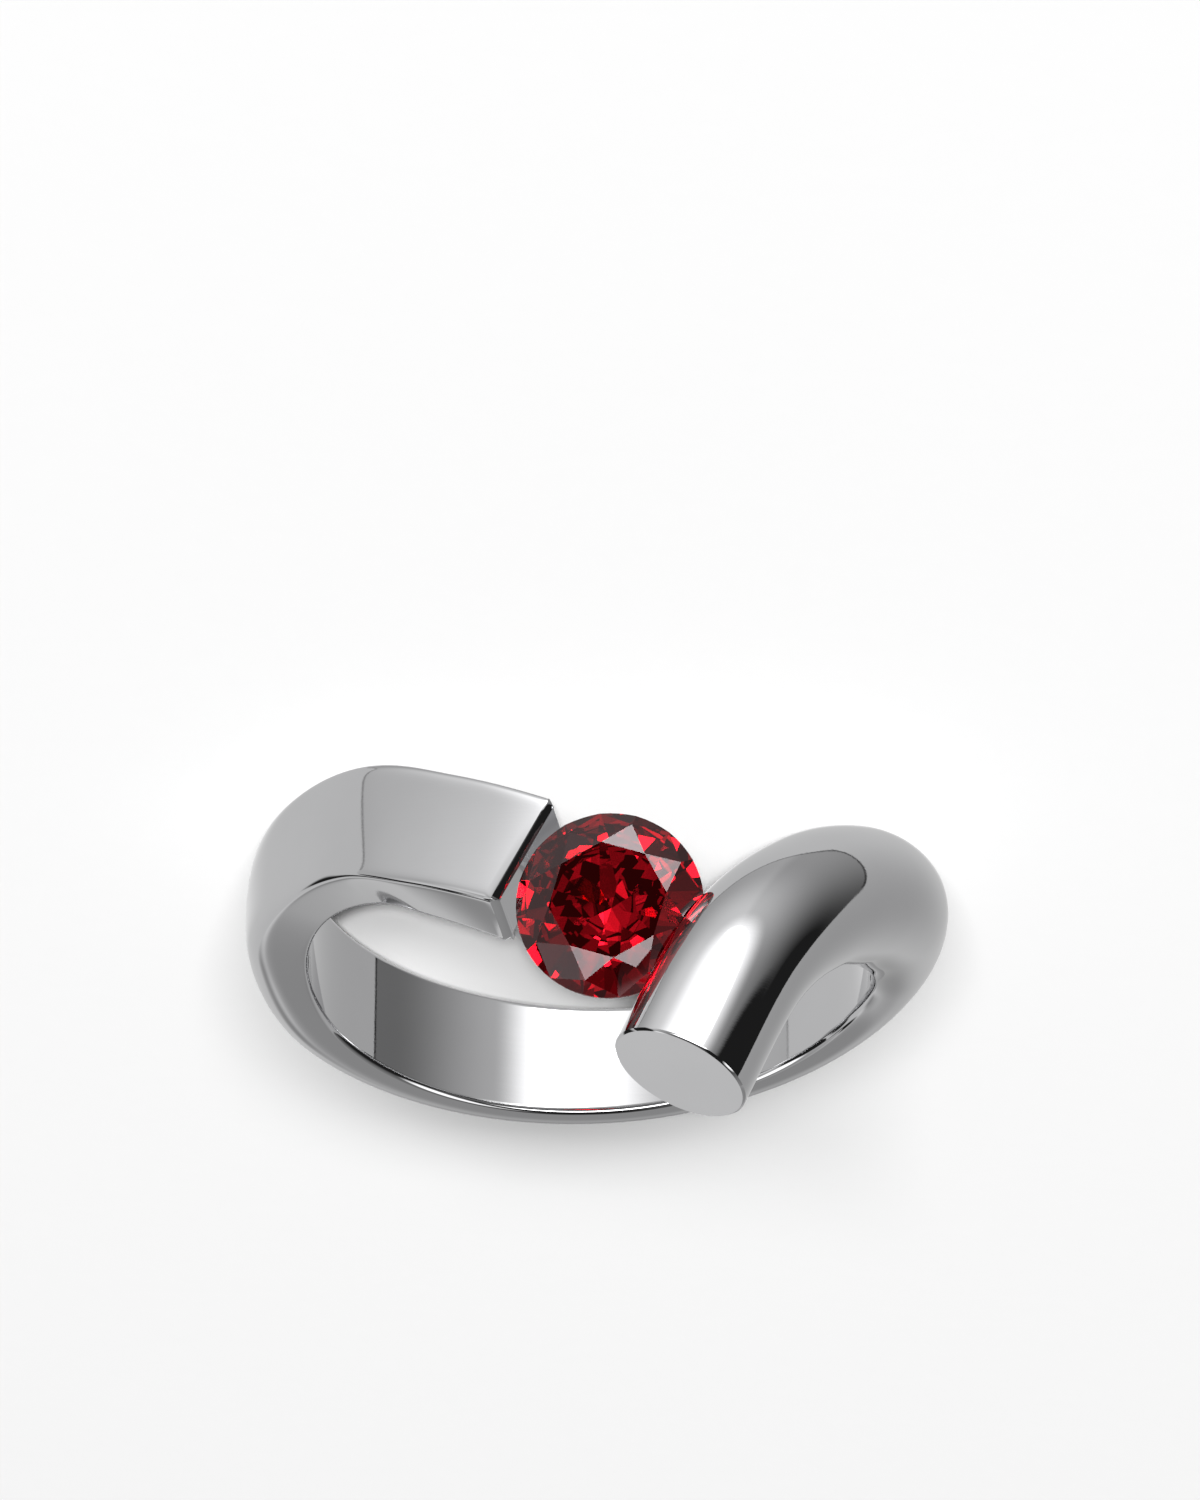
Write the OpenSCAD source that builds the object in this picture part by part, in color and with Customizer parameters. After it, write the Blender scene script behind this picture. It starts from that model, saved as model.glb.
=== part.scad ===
/* [Finger] */
// Inner diameter of the ring, which is the finger size
finger_d = 17.3; // [17.1:0.1:17.4]

/* [Bar] */
// Diameter of the round bar
bar_d = 4.2; // [4.1:0.05:4.3]

/* [Stone] */
// Girdle diameter of the round brilliant
stone_d = 5.6; // [5.5:0.05:5.65]
// Width of the table, corner to corner, as a share of the girdle diameter
table_share = 0.63; // [0.55:0.01:0.65]
// Slope of the eight bezel facets
crown_slope = 36; // [32:1:38]
// Slope of the eight pavilion facets
pavilion_slope = 33; // [31:0.5:33]
// Gap between the stone and the metal that grips it
seat_gap = 0.03; // [0.02:0.01:0.05]

/* [Hidden] */

finger_r = finger_d / 2;
bar_r = bar_d / 2;
stone_r = stone_d / 2;
past = 40;

// The ring is worked out upright: the finger runs along Z, the stone is on the +Y side and the flat arm
// comes from the left. It is then laid down the way it rests by itself, on the back of its shank, its arm
// and its bar.
rest_turn = 180;
rest_lean = [12.5, -4.75, 0];
rest_place = [0.294, 2.158, 1.741];

// Sections of the band, from the flat end of the rectangular arm, round the finger and up to the cut end of
// the round bar. ANGLE goes round the finger from the right side. RISE and ADVANCE place the section's
// centre, out from the finger's skin and forward along the finger. WIDTH, OUTWARD and INWARD are its size on
// either side of that centre. A power of 2 makes that half an ellipse, and a high one makes it square.
ANGLE = 0;
RISE = 1;
ADVANCE = 2;
WIDTH = 3;
OUTWARD = 4;
INWARD = 5;
OUTER_POWER = 6;
INNER_POWER = 7;
SECTIONS = [
    // ANGLE, RISE, ADVANCE, WIDTH, OUTWARD, INWARD, OUTER_POWER, INNER_POWER
    [96, 1.25, 4.35, 3.85, 1.15, 1.8, 20, 14],
    [112, 1.25, 2.9, 3.8, 1, 1.8, 18, 14],
    [128, 1.2, 1.5, 3.75, 0.85, 1.8, 14, 12],
    [150, 1.1, 0.55, 3.65, 0.6, 1.7, 8, 12],
    [176, 0.85, 0.1, 3.75, 1.1, 1.4, 2.8, 7],
    [206, 0.55, 0, 4.1, 1.6, 1.1, 2.3, 4],
    [238, 0.35, 0, 4.1, 1.6, 0.95, 2.2, 4],
    [272, 0.25, 0, 3.85, 1.6, 0.95, 2.2, 4],
    [306, 0.3, 0, 3.5, 1.5, 1, 2.2, 3],
    [332, 0.5, 0.1, 3.4, 1.4, 1.15, 2.2, 2.6],
    [350, 0.65, 0.5, 3.55, 1.4, 1.4, 2.1, 2.2],
    [366, 0.8, 1.2, 3.8, 1.65, 1.7, 2, 2],
    [381, 1.15, 2.1, 4.05, 1.95, 1.95, 2, 2],
    [396, 1.7, 3.3, bar_d, bar_r, bar_r, 2, 2],
    [410, 2.3, 5, bar_d, bar_r, bar_r, 2, 2],
    [422, 2.65, 7.6, bar_d, bar_r, bar_r, 2, 2],
    [432, 2.15, 11.8, bar_d, bar_r, bar_r, 2, 2],
];
steps_per_section = 7;
points_per_section = 32;

// The stone's place: the centre of its girdle, how far its table leans forward and to the left, and how far
// the facets are turned on its own axis
girdle_centre = [1.32, finger_r + 1.8, 6.05];
lean_forward = 19;
lean_left = 2;
stone_spin = 4;

// Proportions of the brilliant
girdle_thickness = 0.16;
star_share = 0.7;
lower_half_share = 0.76;
mains = 8;
girdle_steps = 4;

// A smooth curve through four rows, between the second and the third
function smooth_row(before, from, to, after, t) =
    (2 * from + (to - before) * t + (2 * before - 5 * from + 4 * to - after) * pow(t, 2)
        + (3 * from - before - 3 * to + after) * pow(t, 3)) / 2;

last_section = len(SECTIONS) - 1;

// A row of the table, or the one that would follow past either end of it
function section_row(i) =
    i < 0 ? 2 * SECTIONS[0] - SECTIONS[1]
    : i > last_section ? 2 * SECTIONS[last_section] - SECTIONS[last_section - 1]
    : SECTIONS[i];

STATIONS = [
    for (i = [0 : last_section - 1])
        for (k = [0 : steps_per_section - 1])
            smooth_row(section_row(i - 1), section_row(i), section_row(i + 1), section_row(i + 2),
                k / steps_per_section),
    SECTIONS[last_section]
];
last_station = len(STATIONS) - 1;

function unit(v) = v / norm(v);
function radial(angle) = [cos(angle), sin(angle), 0];
function middle(s) =
    (finger_r + STATIONS[s][RISE]) * radial(STATIONS[s][ANGLE]) + [0, 0, STATIONS[s][ADVANCE]];
function along(s) = unit(middle(min(s + 1, last_station)) - middle(max(s - 1, 0)));
function outward(s) =
    let (out = radial(STATIONS[s][ANGLE]), way = along(s))
    unit(out - way * (out * way));

// A coordinate of a rounded square: an ellipse's at a power of 2, and nearly a square's at a high one
function rounded(x, power) = sign(x) * pow(abs(x), 2 / power);

// The outline of the band at one station, square to the way it runs
function outline(s) =
    let (row = STATIONS[s], centre = middle(s), out = outward(s), side = cross(along(s), out))
    [
        for (j = [0 : points_per_section - 1])
            let (
                turn = 360 * j / points_per_section,
                outer = sin(turn) >= 0,
                power = outer ? row[OUTER_POWER] : row[INNER_POWER],
                depth = outer ? row[OUTWARD] : row[INWARD]
            )
            centre
                + side * rounded(cos(turn), power) * row[WIDTH] / 2
                + out * rounded(sin(turn), power) * depth
    ];

// The whole bent bar, before the finger hole is bored through it
module bent_bar() {
    n = points_per_section;
    points = [for (s = [0 : last_station]) each outline(s)];
    skin = [
        for (s = [0 : last_station - 1])
            for (j = [0 : n - 1])
                let (a = s * n + j, b = s * n + (j + 1) % n)
                each [[a, b, b + n], [a, b + n, a + n]]
    ];
    arm_end = [for (j = [n - 1 : -1 : 0]) j];
    bar_end = [for (j = [0 : n - 1]) last_station * n + j];
    polyhedron(points, concat(skin, [arm_end, bar_end]), convexity = 10);
}

module at_girdle() {
    translate(girdle_centre)
        rotate([lean_forward - 90, 0, lean_left])
            rotate([0, 0, stone_spin])
                children();
}

// The brilliant has eight mains: bezels and pavilion mains face the whole steps round it, and the tips of the
// stars and of the lower halves stand on the half steps between them
step = 360 / mains;
half_edge = girdle_thickness / 2;
table_r = stone_r * table_share;
crown_h = half_edge + (stone_r - table_r) * tan(crown_slope);
pavilion_h = half_edge + stone_r * tan(pavilion_slope);
star_r = table_r * cos(step / 2) + star_share * (stone_r - table_r * cos(step / 2));
star_h = crown_h - (star_r * cos(step / 2) - table_r) * tan(crown_slope);
lower_r = stone_r * (1 - lower_half_share);
lower_h = pavilion_h - lower_r * cos(step / 2) * tan(pavilion_slope);

// The room that the stone takes in the metal: its turned outline, a little larger all round
module seat() {
    above = crown_h + 2 * seat_gap;
    below = pavilion_h + 2 * seat_gap;
    rim = stone_r + seat_gap;
    edge = half_edge + seat_gap;
    rotate_extrude($fn = 96)
        polygon([
            [0, -below],
            [lower_r, -lower_h - 2 * seat_gap],
            [rim, -edge],
            [rim, edge],
            [star_r, star_h + 2 * seat_gap],
            [table_r, above],
            [0, above]
        ]);
}

module finger_bore() {
    cylinder(h = past, r = finger_r, center = true, $fn = 180);
}

module laid_down() {
    translate(rest_place)
        rotate(rest_lean)
            rotate([0, 0, rest_turn])
                children();
}

module band() {
    color([0.78, 0.78, 0.79])
        laid_down()
            difference() {
                bent_bar();
                finger_bore();
                at_girdle() seat();
            }
}

// A point of the stone, so many steps round it
function ring_point(r, steps, z) = [r * cos(steps * step), r * sin(steps * step), z];

// Height of the girdle's edge under a half facet, at a share of the way from a main's end to a half step
function edge_height(tip_r, tip_h, share) =
    let (
        corner = ring_point(stone_r, 0, half_edge),
        next = ring_point(stone_r, 0.5, half_edge),
        tip = ring_point(tip_r, 0.5, tip_h),
        facet = cross(next - corner, tip - corner),
        p = ring_point(stone_r, share / 2, 0) - corner
    )
    half_edge - (facet[0] * p[0] + facet[1] * p[1]) / facet[2];

module brilliant() {
    table = [for (i = [0 : mains - 1]) ring_point(table_r, i, crown_h)];
    stars = [for (i = [0 : mains - 1]) ring_point(star_r, i + 0.5, star_h)];
    lowers = [for (i = [0 : mains - 1]) ring_point(lower_r, i + 0.5, -lower_h)];
    edges = [
        for (i = [0 : 2 * mains - 1])
            for (k = [0 : girdle_steps - 1])
                let (
                    share = i % 2 == 0 ? k / girdle_steps : 1 - k / girdle_steps,
                    at = (i + k / girdle_steps) / 2
                )
                each [
                    ring_point(stone_r, at, edge_height(star_r, star_h, share)),
                    ring_point(stone_r, at, -edge_height(lower_r, lower_h, share))
                ]
    ];
    corners = concat(table, stars, edges, lowers, [[0, 0, -pavilion_h]]);
    hull()
        polyhedron(corners, [[for (i = [0 : len(corners) - 1]) i]]);
}

module stone() {
    color([0.7, 0.02, 0.06])
        laid_down()
            at_girdle()
                brilliant();
}

band();
stone();
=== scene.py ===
"""Tension set ring: the polished band and the red brilliant on a pale studio floor."""

from math import cos, pi, radians, sin, tan

import bpy
import numpy as np
from mathutils import Euler, Matrix, Vector


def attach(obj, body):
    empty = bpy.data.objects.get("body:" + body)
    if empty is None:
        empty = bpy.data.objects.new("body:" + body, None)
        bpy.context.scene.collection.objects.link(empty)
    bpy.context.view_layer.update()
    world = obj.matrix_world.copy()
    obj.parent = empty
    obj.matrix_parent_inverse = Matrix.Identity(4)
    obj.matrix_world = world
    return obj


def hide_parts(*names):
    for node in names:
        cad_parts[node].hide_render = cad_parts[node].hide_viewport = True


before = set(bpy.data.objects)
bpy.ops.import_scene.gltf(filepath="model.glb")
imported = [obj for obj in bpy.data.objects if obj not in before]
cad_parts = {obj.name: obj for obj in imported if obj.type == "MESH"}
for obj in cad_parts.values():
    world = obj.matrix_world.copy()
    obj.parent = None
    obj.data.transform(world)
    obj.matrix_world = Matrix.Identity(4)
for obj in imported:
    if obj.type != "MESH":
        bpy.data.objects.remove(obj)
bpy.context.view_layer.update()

bl_info = {
    "name": "Tension Set Ring",
    "version": (1, 0, 0),
    "blender": (4, 5, 0),
    "location": "View3D > Sidebar > Ring",
    "description": "Dresses a tension set ring and lights it like a small studio shot",
    "category": "Object",
}

MM = 0.001

# The ring is worked out upright, in millimetres, its finger along Z and its stone on the +Y side. It is
# then laid on the floor.
REST_TURN = 180
REST_LEAN = (12.5, -4.75, 0)
REST_PLACE = (0.294, 2.158, 1.741)

# Sections of the band, from the flat end of the rectangular arm, round the finger and up to the cut end
# of the round bar. ANGLE goes round the finger from the right side. RISE and ADVANCE place the
# section's centre, out from the finger's skin and forward along the finger. WIDTH, OUTWARD and INWARD
# are its size on either side of that centre. A power of 2 makes that half an ellipse, and a high one
# makes it square.
BAR_D = 4.2
BAR_R = BAR_D / 2
ANGLE, RISE, ADVANCE, WIDTH, OUTWARD, INWARD, OUTER_POWER, INNER_POWER = range(8)
SECTIONS = [
    # ANGLE, RISE, ADVANCE, WIDTH, OUTWARD, INWARD, OUTER_POWER, INNER_POWER
    (96, 1.25, 4.35, 3.85, 1.15, 1.8, 20, 14),
    (112, 1.25, 2.9, 3.8, 1, 1.8, 18, 14),
    (128, 1.2, 1.5, 3.75, 0.85, 1.8, 14, 12),
    (150, 1.1, 0.55, 3.65, 0.6, 1.7, 8, 12),
    (176, 0.85, 0.1, 3.75, 1.1, 1.4, 2.8, 7),
    (206, 0.55, 0, 4.1, 1.6, 1.1, 2.3, 4),
    (238, 0.35, 0, 4.1, 1.6, 0.95, 2.2, 4),
    (272, 0.25, 0, 3.85, 1.6, 0.95, 2.2, 4),
    (306, 0.3, 0, 3.5, 1.5, 1, 2.2, 3),
    (332, 0.5, 0.1, 3.4, 1.4, 1.15, 2.2, 2.6),
    (350, 0.65, 0.5, 3.55, 1.4, 1.4, 2.1, 2.2),
    (366, 0.8, 1.2, 3.8, 1.65, 1.7, 2, 2),
    (381, 1.15, 2.1, 4.05, 1.95, 1.95, 2, 2),
    (396, 1.7, 3.3, BAR_D, BAR_R, BAR_R, 2, 2),
    (410, 2.3, 5, BAR_D, BAR_R, BAR_R, 2, 2),
    (422, 2.65, 7.6, BAR_D, BAR_R, BAR_R, 2, 2),
    (432, 2.15, 11.8, BAR_D, BAR_R, BAR_R, 2, 2),
]
STEPS_PER_SECTION = 14
POINTS_PER_LOOP = 176

# Each half of a loop is first drawn with many points, which are then spaced by its length and its bends
FINE_POINTS = 1024
BEND_WEIGHT = 1.2
BEND_BLUR = 25
NEARLY_NOTHING = 1e-9

# The edge of a cut end is part chamfer and part round, and its face runs in to a small ring
CAP_RINGS = 5
CHAMFER = 0.8
CAP_CENTRE = 0.04

MERGE_DISTANCE = 0.0001 * MM
SMOOTH_BELOW = radians(32)

# The brilliant, worked out from the same driving sizes as the solid
GIRDLE_ABOVE_FINGER = 1.8
GIRDLE_SIDE, GIRDLE_FORWARD = 1.32, 6.05
LEAN_FORWARD, LEAN_LEFT = 19, 2
STONE_R = 2.8
TABLE_SHARE, STAR_SHARE, LOWER_HALF_SHARE = 0.63, 0.7, 0.76
CROWN_RISE, PAVILION_DROP = tan(radians(36)), tan(radians(33))
GIRDLE_HALF = 0.08
HALF_STEP = pi / 8
TABLE_R = STONE_R * TABLE_SHARE
CROWN_H = GIRDLE_HALF + (STONE_R - TABLE_R) * CROWN_RISE
PAVILION_H = GIRDLE_HALF + STONE_R * PAVILION_DROP
TABLE_EDGE = TABLE_R * cos(HALF_STEP)
STAR_R = TABLE_EDGE + STAR_SHARE * (STONE_R - TABLE_EDGE)
STAR_H = CROWN_H - (STAR_R * cos(HALF_STEP) - TABLE_R) * CROWN_RISE
LOWER_R = STONE_R * (1 - LOWER_HALF_SHARE)
LOWER_H = PAVILION_H - LOWER_R * cos(HALF_STEP) * PAVILION_DROP
CUTTER_SIDES = 192
CUTTER_TIP = 0.05
NEARLY_LEVEL = 0.9

# The camera stands low on the stone's side, at the photograph's angle to the ring. It is rolled over,
# because the ring lies on its side.
CAMERA_PLACE = (-24.98, -281.04, 97.59)
CAMERA_TURN = (-70.34, 3.86, 176.27)
CAMERA_LENS, CAMERA_SENSOR = 233.3, 36
CAMERA_NEAR, CAMERA_FAR = 0.01, 10

FLOOR_SIZE = 6000

# The lamps are soft boxes that stand far off on the camera's side, low over the floor
LAMPS = [
    # Name, size, place and power
    ("low_box", (1600, 400), (-430, -5000, 1300), 620),
    ("camera_box", (240, 160), (-443, -5000, 1655), 550),
]
LAMPS_FACE = (0, 0, 3)


class RingBandSettings(bpy.types.PropertyGroup):
    finger_d: bpy.props.FloatProperty(
        name="Finger hole", description="Inner diameter of the ring", default=17.3 * MM, unit="LENGTH")
    rim_round: bpy.props.FloatProperty(
        name="Rim", description="Rounding of the rims of the finger hole", default=0.2 * MM, unit="LENGTH")
    arm_edge: bpy.props.FloatProperty(
        name="Arm edge", description="Rounding of the arm's end", default=0.2 * MM, unit="LENGTH")
    bar_edge: bpy.props.FloatProperty(
        name="Bar edge", description="Rounding of the bar's cut end", default=0.07 * MM, unit="LENGTH")
    seat_gap: bpy.props.FloatProperty(
        name="Seat gap", description="Gap between metal and stone", default=0.02 * MM, unit="LENGTH")
    metal_colour: bpy.props.FloatVectorProperty(
        name="Metal", description="Colour of the white metal", subtype="COLOR", default=(0.66, 0.66, 0.67))
    polish: bpy.props.FloatProperty(
        name="Polish", description="Roughness of the metal", default=0.02, min=0, max=1, subtype="FACTOR")


class RingStoneSettings(bpy.types.PropertyGroup):
    gem_colour: bpy.props.FloatVectorProperty(
        name="Stone", description="Colour of the red stone", subtype="COLOR", default=(0.42, 0.003, 0.009))
    refraction: bpy.props.FloatProperty(
        name="Refraction", description="How strongly the stone bends light", default=2.2, min=1, max=3)


class RingStageSettings(bpy.types.PropertyGroup):
    floor_colour: bpy.props.FloatVectorProperty(
        name="Floor", description="Colour of the studio floor", subtype="COLOR", default=(0.8, 0.8, 0.8))
    light_power: bpy.props.FloatProperty(
        name="Light", description="Strength of the studio lights", default=1, min=0, max=10)


def settings(name):
    return getattr(bpy.context.scene, name)


# Shader writing


class Level:
    """A shader value that takes part in plain arithmetic."""

    def __init__(self, maker, socket):
        self.maker, self.socket = maker, socket

    def _sum(self, operation, first, second):
        return self.maker.node("ShaderNodeMath", {"operation": operation}, {0: first, 1: second})

    def __add__(self, other):
        return self._sum("ADD", self, other)

    def __radd__(self, other):
        return self._sum("ADD", other, self)

    def __sub__(self, other):
        return self._sum("SUBTRACT", self, other)

    def __rsub__(self, other):
        return self._sum("SUBTRACT", other, self)

    def __mul__(self, other):
        return self._sum("MULTIPLY", self, other)

    def __pow__(self, other):
        return self._sum("POWER", self, other)


class Finish:
    """A material, or the light of the studio, in the making."""

    def __init__(self, holder):
        self.holder = holder
        holder.use_nodes = True
        self.tree = holder.node_tree
        self.tree.nodes.clear()

    def node(self, kind, choices=None, inputs=None, output=0):
        made = self.tree.nodes.new(kind)
        for key, value in (choices or {}).items():
            setattr(made, key, value)
        for key, value in (inputs or {}).items():
            if isinstance(value, Level):
                self.tree.links.new(value.socket, made.inputs[key])
            else:
                made.inputs[key].default_value = value
        return Level(self, made.outputs[output]) if made.outputs else None

    def place(self, scale=(1, 1, 1), turn=(0, 0, 0)):
        here = self.node("ShaderNodeTexCoord", output="Object")
        return self.node("ShaderNodeMapping", None, {"Vector": here, "Scale": scale, "Rotation": turn})

    def noise(self, scale, detail=2, roughness=0.5, where=None):
        """A noise on the piece's own coordinates, whose scale is the number of its waves in a metre."""
        return self.node("ShaderNodeTexNoise", None, {
            "Vector": where or self.place(), "Scale": scale, "Detail": detail, "Roughness": roughness})

    def blend(self, share, first, second):
        return self.node("ShaderNodeMix", {"data_type": "RGBA"}, {0: share, 6: first, 7: second}, 2)

    def dot(self, way, fixed):
        return self.node("ShaderNodeVectorMath", {"operation": "DOT_PRODUCT"}, {0: way, 1: fixed}, "Value")

    def ramp(self, value, low, high):
        return self.node("ShaderNodeMapRange", {"interpolation_type": "SMOOTHSTEP"}, {
            "Value": value, "From Min": low, "From Max": high})

    def bump(self, height, distance, strength, under=None):
        inputs = {"Height": height, "Distance": distance, "Strength": strength}
        if under:
            inputs["Normal"] = under
        return self.node("ShaderNodeBump", None, inputs)

    def surface(self, inputs):
        shader = self.node("ShaderNodeBsdfPrincipled", None, inputs)
        self.node("ShaderNodeOutputMaterial", None, {"Surface": shader})
        return self.holder


def tone(colour, factor):
    return (*[min(1, c * factor) for c in colour], 1)


def polished_platinum(colour, roughness):
    """Hand polished platinum: slow waves from the buffing wheel, fine hairlines and a trace of haze."""
    finish = Finish(bpy.data.materials.new("polished_platinum"))
    haze = finish.noise(350, 3)
    waves = finish.noise(900, 1)
    hairlines = finish.noise(1500, 4, 0.6, finish.place((0.25, 0.25, 6), (0.2, 0.5, 0.3)))
    grain = finish.noise(26000, 2, 0.6)
    wear, wave_depth, grain_depth = 0.012, 0.002 * MM, 0.0004 * MM
    relief = finish.bump(waves, wave_depth, 0.5)
    return finish.surface({
        "Base Color": finish.blend(haze, tone(colour, 0.96), tone(colour, 1.04)),
        "Metallic": 1.0,
        "Roughness": haze * wear + hairlines * wear + (roughness - wear),
        "Normal": finish.bump(grain + hairlines * 1.5, grain_depth, 0.6, relief),
    })


def red_gem(colour, refraction):
    """Clear red corundum with faint growth zoning, and a faint painted red glow from emission, which
    stands in for light.
    """
    finish = Finish(bpy.data.materials.new("red_gem"))
    zoning = finish.noise(260, 2, 0.5, finish.place((1, 1, 3), (0.4, 0.2, 0)))
    return finish.surface({
        "Base Color": finish.blend(zoning, tone(colour, 0.85), tone(colour, 1.1)),
        "Roughness": 0.0,
        "IOR": refraction,
        "Specular Tint": (0.36, 0.32, 0.33, 1),
        "Transmission Weight": 1.0,
        # Painted light: emission gives the stone a faint red glow, though it is no lamp
        "Emission Color": (0.5, 0, 0.01, 1),
        "Emission Strength": 0.008,
    })


def floor_paper(colour):
    """Plain pale studio paper with a faint tooth."""
    finish = Finish(bpy.data.materials.new("floor_paper"))
    tooth = finish.noise(900, 3)
    return finish.surface({
        "Base Color": finish.blend(tooth, tone(colour, 0.995), tone(colour, 1.005)),
        "Roughness": 0.9,
        "Specular IOR Level": 0.1,
    })


# The soft boxes and flags round the ring. AZIMUTH and HEIGHT say where each stands, in degrees, with
# azimuth 0 on the camera's side and 90 on the +X side. WIDE and TALL are its half sizes, TURN tips it
# over, SOFT is how gently it ends, and LIGHT is what it adds to the reflected light or takes from it.
AZIMUTH, HEIGHT, WIDE, TALL, TURN, SOFT, LIGHT = range(7)
BOXES = [
    # AZIMUTH, HEIGHT, WIDE, TALL, TURN, SOFT, LIGHT
    (-92, 4, 50, 42, 0, 1, -0.36),
    (12, -60, 50, 20, 0, 0.9, 0.22),
    (-14, -41, 28, 12, -30, 0.6, 0.9),
    (-18, -42, 21, 6.5, -43, 0.3, 4),
    (44, -22, 12, 8, 0, 0.8, 0.25),
    (45, -46, 32, 10, 0, 0.8, 0.14),
    (80, -40, 36, 24, 0, 1, -0.08),
    (-60, -8, 22, 8, 0, 0.4, -0.2),
    (66, 0, 12, 16, 0, 0.6, 0.2),
    (100, 16, 26, 22, 0, 0.2, -0.7),
    (0, 55, 42, 50, 0, 0.3, -0.25),
    (8, -5, 18, 12, 0, 0.3, -0.25),
    (0, 37, 32, 8, 0, 0.3, 4.2),
    (-70, 45, 10, 22, 0, 0.4, 1.0),
    (75, 55, 10, 22, 0, 0.4, 1.0),
]
BACK_BOXES = [
    # AZIMUTH, HEIGHT, WIDE, TALL, TURN, SOFT, LIGHT
    (164, -24, 16, 7, 0, 0.6, 0.15),
    (-165, 42, 26, 24, 0, 0.5, -0.2),
    (-150, -8, 34, 22, 0, 1, -0.08),
    (177, 4, 8, 12, 0, 0.9, -0.17),
    (126, 43, 18, 8, 0, 0.3, -0.4),
    (111, 8, 9, 20, 0, 0.3, -0.4),
    (158, 22, 8, 7, 0, 0.8, -0.2),
    (152, 34, 9, 7, 0, 0.6, 0.06),
]
SURROUND = 0.31
SURROUND_STRENGTH = 1.6
DARKEST = 0.01

# The back panel stands behind the ring and is a little darker on the -X side. Its edge leans with
# height and comes forward on the far +X side, and below the ring a dark seam runs along it. Each pair
# is where a change starts and ends along an axis of the direction, which runs from -1 to 1.
PANEL_LIGHT, PANEL_SHADE = 0.41, -0.1
PANEL_SHADE_AT = (-0.2, -0.95)
PANEL_EDGE = (0.365, 0.375)
PANEL_LEAN = 0.1
PANEL_STEP = 0.26
PANEL_STEP_AT = (0.6, 0.8)
SEAM_START, SEAM_END = (0.357, 0.362), (0.37, 0.375)
SEAM_BELOW = (-0.42, -0.45)
SEAM_SHADE = 0.2

# A box fades in where a direction turns to its side of the room
FACING = (-0.05, 0.1)


def looking(azimuth, height):
    a = radians(azimuth)
    h = radians(height)
    return Vector((sin(a) * cos(h), -cos(a) * cos(h), sin(h)))


def soft_box(studio, way, box):
    """How much of one soft box is seen along a direction, from 0 to 1."""
    front = looking(box[AZIMUTH], box[HEIGHT])
    level = Vector((0, 0, 1)).cross(front).normalized()
    side = Matrix.Rotation(radians(box[TURN]), 3, front) @ level
    over = front.cross(side)
    across = studio.dot(way, side) * (1 / sin(radians(box[WIDE])))
    along = studio.dot(way, over) * (1 / sin(radians(box[TALL])))
    off = (across * across + along * along) ** 0.5
    facing = studio.ramp(studio.dot(way, front), *FACING)
    return facing * (1 - studio.ramp(off, 1 - box[SOFT], 1 + box[SOFT]))


def studio_light(strength):
    """The light that surrounds the ring, as its polished metal shows it."""
    studio = Finish(bpy.data.worlds.new("studio"))
    way = studio.node("ShaderNodeTexCoord", output="Generated")
    spread = studio.node("ShaderNodeSeparateXYZ", None, {0: way})
    x, y, z = [Level(studio, spread.socket.node.outputs[axis]) for axis in range(3)]
    front = SURROUND
    for box in BOXES:
        front = front + soft_box(studio, way, box) * box[LIGHT]
    back = studio.ramp(x, *PANEL_SHADE_AT) * PANEL_SHADE + PANEL_LIGHT
    for box in BACK_BOXES:
        back = back + soft_box(studio, way, box) * box[LIGHT]
    across = y - z * PANEL_LEAN + studio.ramp(x, *PANEL_STEP_AT) * PANEL_STEP
    panel = studio.ramp(across, *PANEL_EDGE)
    seam = studio.ramp(across, *SEAM_START) * (1 - studio.ramp(across, *SEAM_END))
    seam = seam * studio.ramp(z, *SEAM_BELOW)
    light = studio.node("ShaderNodeMath", {"operation": "MAXIMUM"}, {
        0: panel * back + (1 - panel) * front - seam * SEAM_SHADE, 1: DARKEST})
    glow = studio.node("ShaderNodeCombineColor", None, {0: light, 1: light, 2: light})
    shown = studio.node("ShaderNodeBackground", None, {"Color": glow, "Strength": strength})
    studio.node("ShaderNodeOutputWorld", None, {"Surface": shown})
    return studio.holder


# Shapes


def nothing_selected():
    if bpy.context.object and bpy.context.object.mode != "OBJECT":
        bpy.ops.object.mode_set(mode="OBJECT")
    bpy.ops.object.select_all(action="DESELECT")


def laid_down():
    """Takes the upright ring, in millimetres, to its rest on the floor, in metres."""
    lean = Euler([radians(a) for a in REST_LEAN]).to_matrix().to_4x4()
    turn = Matrix.Rotation(radians(REST_TURN), 4, "Z")
    return Matrix.Scale(MM, 4) @ Matrix.Translation(REST_PLACE) @ lean @ turn


def at_girdle(finger_r):
    """Takes the stone's own axes to its place over the finger."""
    turn = Euler((radians(LEAN_FORWARD - 90), 0, radians(LEAN_LEFT))).to_matrix().to_4x4()
    return Matrix.Translation((GIRDLE_SIDE, finger_r + GIRDLE_ABOVE_FINGER, GIRDLE_FORWARD)) @ turn


def smooth_sections():
    """The same smooth curve through the sections as the solid has."""
    rows = np.array(SECTIONS, float)
    rows = np.vstack([2 * rows[0] - rows[1], rows, 2 * rows[-1] - rows[-2]])
    made = []
    for before, start, end, after in zip(rows, rows[1:], rows[2:], rows[3:]):
        for step in range(STEPS_PER_SECTION):
            t = step / STEPS_PER_SECTION
            slope = (end - before) * t
            bend = (2 * before - 5 * start + 4 * end - after) * t**2
            twist = (3 * start - before - 3 * end + after) * t**3
            made.append((2 * start + slope + bend + twist) / 2)
    made.append(rows[-2])
    return np.array(made)


def unit(v):
    return v / np.linalg.norm(v, axis=-1, keepdims=True)


def rounded(x, power):
    """A coordinate of a rounded square: an ellipse's at a power of 2, nearly a square's at a high one."""
    return np.sign(x) * np.abs(x) ** (2 / power)


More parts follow.
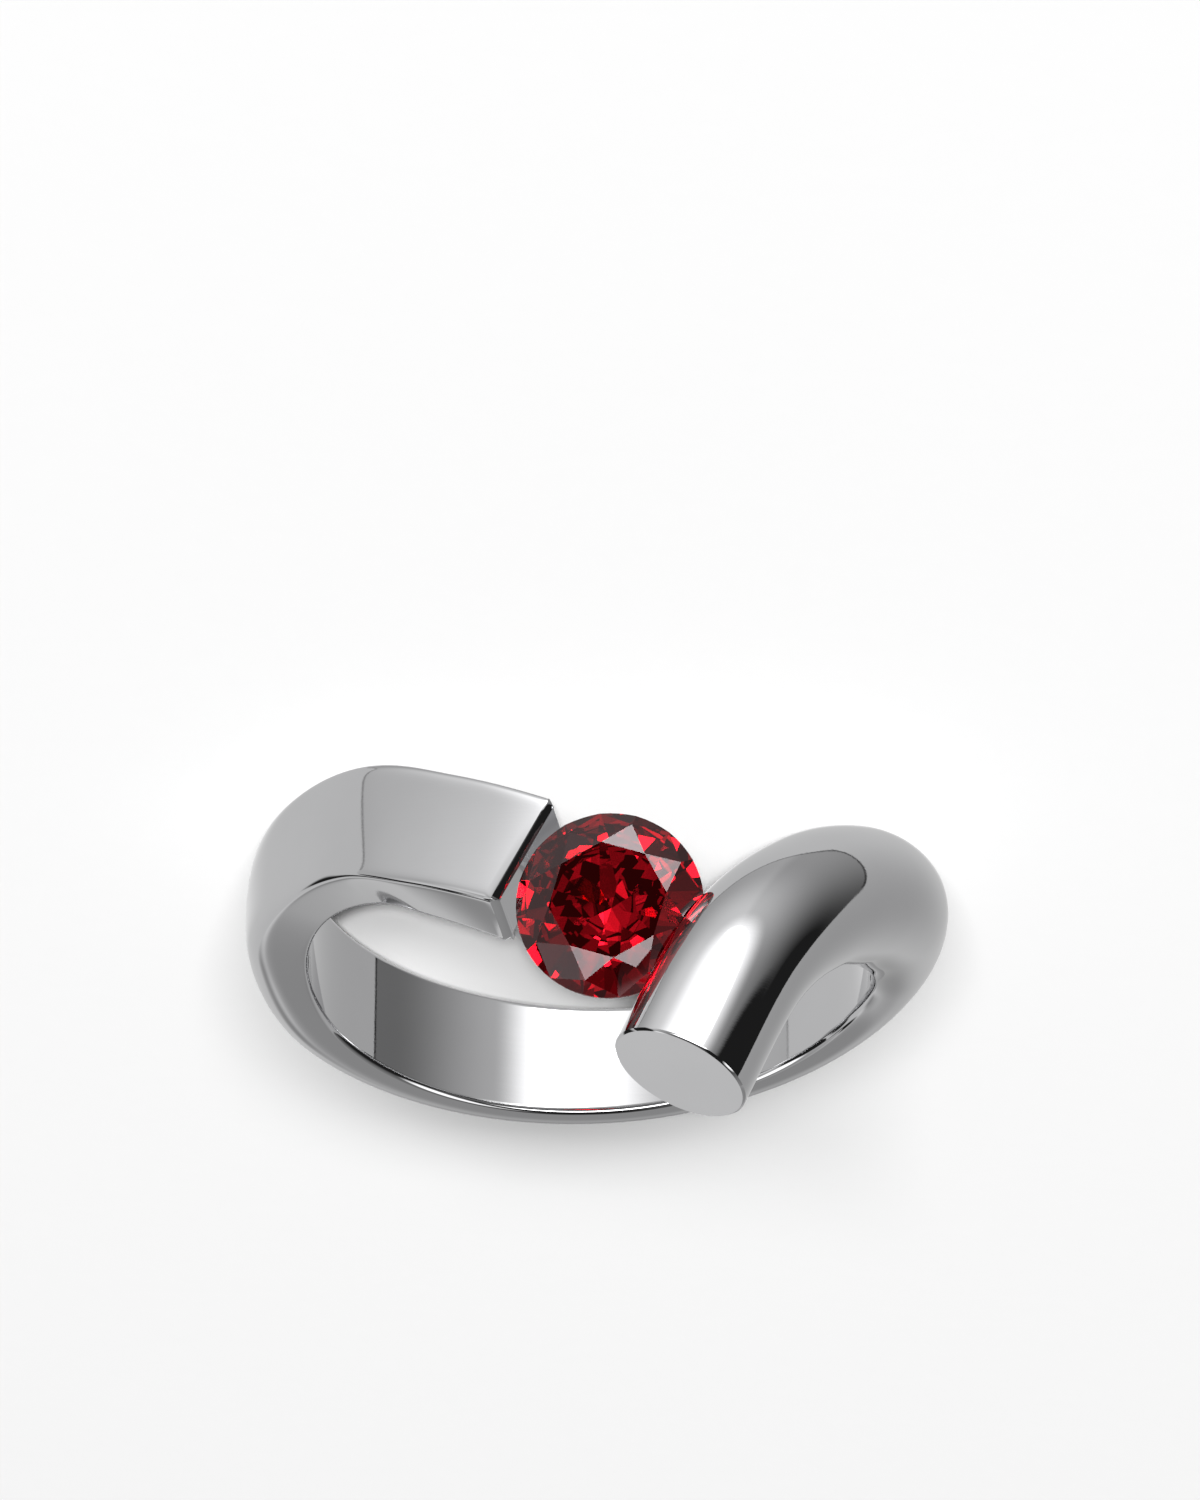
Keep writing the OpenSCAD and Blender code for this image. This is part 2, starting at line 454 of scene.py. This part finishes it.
def even_loop(points, count):
    """Spaces the points of an open run evenly by length and by how much it turns."""
    steps = np.diff(points, axis=0)
    length = np.linalg.norm(steps, axis=1)
    way = steps / np.maximum(length, NEARLY_NOTHING)[:, None]
    turn = np.zeros(len(length))
    turn[1:] = np.arccos(np.clip((way[1:] * way[:-1]).sum(1), -1, 1))
    turn = np.convolve(turn, np.ones(BEND_BLUR) / BEND_BLUR, "same")
    turned = turn / max(turn.sum(), NEARLY_NOTHING) * min(1, turn.sum() / pi)
    pace = length / length.sum() + BEND_WEIGHT * turned
    reached = np.concatenate([[0], np.cumsum(pace)])
    wanted = np.linspace(0, reached[-1], count + 1)[:-1]
    return np.stack([np.interp(wanted, reached, points[:, axis]) for axis in range(3)], 1)


def softly_bored(points, middle, sideways, finger_r, rim):
    """Moves what lies inside the finger hole out to its wall, and rounds the rims over."""
    away = np.hypot(points[:, 0], points[:, 1])
    near = np.clip((finger_r + rim - away) / rim, 0, 1)
    across = (points - middle) @ sideways
    drawn_in = rim * (1 - np.sqrt(1 - near**2)) * across / np.abs(across).max()
    points = points - np.outer(drawn_in, sideways)
    away = np.hypot(points[:, 0], points[:, 1])
    points[:, :2] *= (np.maximum(away, finger_r) / away)[:, None]
    return points


def band_loops(finger_r, rim, arm_edge, bar_edge):
    """Closed loops of points along the band, with the rounded edges of its two cut ends."""
    rows = smooth_sections()
    angle = np.radians(rows[:, ANGLE])
    radial = np.stack([np.cos(angle), np.sin(angle), 0 * angle], 1)
    centre = (finger_r + rows[:, RISE, None]) * radial
    centre[:, 2] = rows[:, ADVANCE]
    first_step = centre[1] - centre[0]
    last_step = centre[-1] - centre[-2]
    along = unit(np.vstack([first_step, centre[2:] - centre[:-2], last_step]))
    out = unit(radial - along * (radial * along).sum(1, keepdims=True))
    side = np.cross(along, out)
    turn = np.linspace(0, pi, FINE_POINTS + 1)
    loops = []
    for row, middle, outward, sideways in zip(rows, centre, out, side):
        loop = []
        for sign, depth, power in ((1, OUTWARD, OUTER_POWER), (-1, INWARD, INNER_POWER)):
            x = rounded(np.cos(turn), row[power]) * row[WIDTH] / 2 * sign
            y = rounded(np.sin(turn), row[power]) * row[depth] * sign
            run = middle + np.outer(x, sideways) + np.outer(y, outward)
            run = softly_bored(run, middle, sideways, finger_r, rim)
            loop.append(even_loop(run, POINTS_PER_LOOP // 2))
        loops.append(np.vstack(loop))
    first = end_rings(loops[0], -along[0], arm_edge)
    last = end_rings(loops[-1], along[-1], bar_edge)
    return first[::-1] + loops[1:-1] + last


def end_rings(loop, forward, edge):
    """Rings that round the edge of a cut end over, from its side to its face."""
    way = unit(np.roll(loop, -1, 0) - np.roll(loop, 1, 0))
    inward = np.cross(forward, way)
    middle = loop.mean(0)
    if ((middle - loop) * inward).sum() < 0:
        inward = -inward
    rings = []
    for step in range(CAP_RINGS + 1):
        share = step / CAP_RINGS
        lean = pi / 2 * share
        into = CHAMFER * share + (1 - CHAMFER) * (1 - cos(lean))
        back = CHAMFER * (1 - share) + (1 - CHAMFER) * (1 - sin(lean))
        rings.append(loop + (inward * into - forward * back) * edge)
    rings.append(rings[-1] + (middle - rings[-1]) * CAP_CENTRE)
    return rings


def grown(cutter, sign, width, height, steps):
    """Draws the face on one side of a cylinder out in steps, each to its own radius and height."""
    bpy.ops.object.mode_set(mode="EDIT")
    bpy.ops.mesh.select_mode(type="FACE")
    bpy.ops.mesh.select_all(action="DESELECT")
    bpy.ops.object.mode_set(mode="OBJECT")
    for face in cutter.data.polygons:
        face.select = face.normal.z * sign > NEARLY_LEVEL
    bpy.ops.object.mode_set(mode="EDIT")
    for next_width, next_height in steps:
        out = (0, 0, sign * (next_height - height))
        share = next_width / width
        bpy.ops.mesh.extrude_region_move(TRANSFORM_OT_translate={"value": out})
        bpy.ops.transform.resize(value=(share, share, 1), center_override=(0, 0, 0))
        width, height = next_width, next_height
    bpy.ops.object.mode_set(mode="OBJECT")


def seat_cutter(finger_r, gap):
    """The room that the stone takes in the metal, grown from a short cylinder at the girdle."""
    rim = STONE_R + gap
    edge = GIRDLE_HALF + gap
    clear = 2 * gap
    nothing_selected()
    bpy.ops.mesh.primitive_cylinder_add(vertices=CUTTER_SIDES, radius=rim, depth=2 * edge)
    cutter = bpy.context.object
    grown(cutter, 1, rim, edge, ((STAR_R, STAR_H + clear), (TABLE_R, CROWN_H + clear)))
    grown(cutter, -1, rim, edge, ((LOWER_R, LOWER_H + clear), (CUTTER_TIP, PAVILION_H + clear)))
    cutter.data.transform(laid_down() @ at_girdle(finger_r))
    return cutter


def polished_band(finger_r, rim, arm_edge, bar_edge, gap):
    """The one-piece band, rolled up from a grid along its sections, capped, and cut for the stone."""
    loops = band_loops(finger_r, rim, arm_edge, bar_edge)
    nothing_selected()
    bpy.ops.mesh.primitive_grid_add(x_subdivisions=POINTS_PER_LOOP, y_subdivisions=len(loops) - 1, size=1)
    band = bpy.context.object
    band.name = band.data.name = "polished_band"
    points = np.array([np.vstack([loop, loop[:1]]) for loop in loops])
    band.data.vertices.foreach_set("co", points.reshape(-1).astype(np.float32))
    band.data.transform(laid_down())
    bpy.ops.object.mode_set(mode="EDIT")
    bpy.ops.mesh.select_all(action="SELECT")
    bpy.ops.mesh.remove_doubles(threshold=MERGE_DISTANCE)
    bpy.ops.mesh.select_all(action="SELECT")
    bpy.ops.mesh.fill_holes(sides=0)
    bpy.ops.mesh.select_all(action="SELECT")
    bpy.ops.mesh.normals_make_consistent(inside=False)
    bpy.ops.object.mode_set(mode="OBJECT")
    cutter = seat_cutter(finger_r, gap)
    nothing_selected()
    bpy.context.view_layer.objects.active = band
    band.select_set(True)
    seat = band.modifiers.new("seat", "BOOLEAN")
    seat.operation, seat.solver, seat.object = "DIFFERENCE", "EXACT", cutter
    bpy.ops.object.modifier_apply(modifier=seat.name)
    bpy.data.objects.remove(cutter)
    bpy.ops.object.shade_smooth_by_angle(angle=SMOOTH_BELOW)
    return band


def studio_floor(colour):
    """The plain floor, which the metal and the stone don't mirror."""
    nothing_selected()
    bpy.ops.mesh.primitive_plane_add(size=FLOOR_SIZE * MM)
    floor = bpy.context.object
    floor.name = floor.data.name = "floor"
    floor.data.materials.append(floor_paper(colour))
    floor.visible_glossy = floor.visible_transmission = False


def lamp(name, size, place, power):
    """A soft box that faces the ring, with its size and place in millimetres."""
    data = bpy.data.lights.new(name, "AREA")
    data.shape = "RECTANGLE"
    data.size, data.size_y = size[0] * MM, size[1] * MM
    data.energy = power
    made = bpy.data.objects.new(name, data)
    bpy.context.scene.collection.objects.link(made)
    made.rotation_mode = "QUATERNION"
    made.location = Vector(place) * MM
    made.rotation_quaternion = (Vector(LAMPS_FACE) - Vector(place)).to_track_quat("-Z", "Y")
    made.visible_glossy = made.visible_transmission = False


def studio_camera():
    data = bpy.data.cameras.new("camera")
    data.lens, data.sensor_width, data.sensor_fit = CAMERA_LENS, CAMERA_SENSOR, "AUTO"
    data.clip_start, data.clip_end = CAMERA_NEAR, CAMERA_FAR
    camera = bpy.data.objects.new("camera", data)
    camera.location = Vector(CAMERA_PLACE) * MM
    camera.rotation_euler = [radians(a) for a in CAMERA_TURN]
    bpy.context.scene.collection.objects.link(camera)
    return camera


# Operators, settings and panel


class RINGSHOP_OT_band(bpy.types.Operator):
    """Makes the polished band in place of its solid"""

    bl_idname = "ringshop.band"
    bl_label = "Polished band"

    def execute(self, context):
        s = settings("ring_band")
        sizes = [size / MM for size in (s.finger_d / 2, s.rim_round, s.arm_edge, s.bar_edge, s.seat_gap)]
        band = polished_band(*sizes)
        band.data.materials.clear()
        band.data.materials.append(polished_platinum(s.metal_colour, s.polish))
        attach(band, "root")
        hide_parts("band")
        return {"FINISHED"}


class RINGSHOP_OT_stone(bpy.types.Operator):
    """Gives the cut stone its clear red finish"""

    bl_idname = "ringshop.stone"
    bl_label = "Red brilliant"

    def execute(self, context):
        s = settings("ring_stone")
        finish = red_gem(s.gem_colour, s.refraction)
        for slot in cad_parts["stone"].material_slots:
            slot.material = finish
        return {"FINISHED"}


class RINGSHOP_OT_stage(bpy.types.Operator):
    """Sets the floor, the soft lights and the camera"""

    bl_idname = "ringshop.stage"
    bl_label = "Studio"

    def execute(self, context):
        s = settings("ring_stage")
        scene = context.scene
        studio_floor(s.floor_colour)
        for name, size, place, power in LAMPS:
            lamp(name, size, place, power * s.light_power)
        scene.world = studio_light(SURROUND_STRENGTH * s.light_power)
        scene.world.cycles_visibility.diffuse = False
        scene.camera = studio_camera()
        scene.view_settings.view_transform = "Standard"
        return {"FINISHED"}


class RINGSHOP_PT_panel(bpy.types.Panel):
    bl_label = "Tension set ring"
    bl_idname = "RINGSHOP_PT_panel"
    bl_space_type = "VIEW_3D"
    bl_region_type = "UI"
    bl_category = "Ring"

    def draw(self, context):
        for group, operator in PIECES:
            box = self.layout.box()
            held = settings(group)
            for name in held.__annotations__:
                box.prop(held, name)
            box.operator(operator)


PIECES = [
    ("ring_band", "ringshop.band"),
    ("ring_stone", "ringshop.stone"),
    ("ring_stage", "ringshop.stage"),
]
GROUPS = {"ring_band": RingBandSettings, "ring_stone": RingStoneSettings, "ring_stage": RingStageSettings}
CLASSES = [RINGSHOP_OT_band, RINGSHOP_OT_stone, RINGSHOP_OT_stage, RINGSHOP_PT_panel]


def register():
    for name, group in GROUPS.items():
        bpy.utils.register_class(group)
        setattr(bpy.types.Scene, name, bpy.props.PointerProperty(type=group))
    for made in CLASSES:
        bpy.utils.register_class(made)


def unregister():
    for made in reversed(CLASSES):
        bpy.utils.unregister_class(made)
    for name, group in GROUPS.items():
        delattr(bpy.types.Scene, name)
        bpy.utils.unregister_class(group)


def main():
    register()
    bpy.ops.ringshop.band()
    bpy.ops.ringshop.stone()
    bpy.ops.ringshop.stage()


if __name__ == "__main__":
    main()
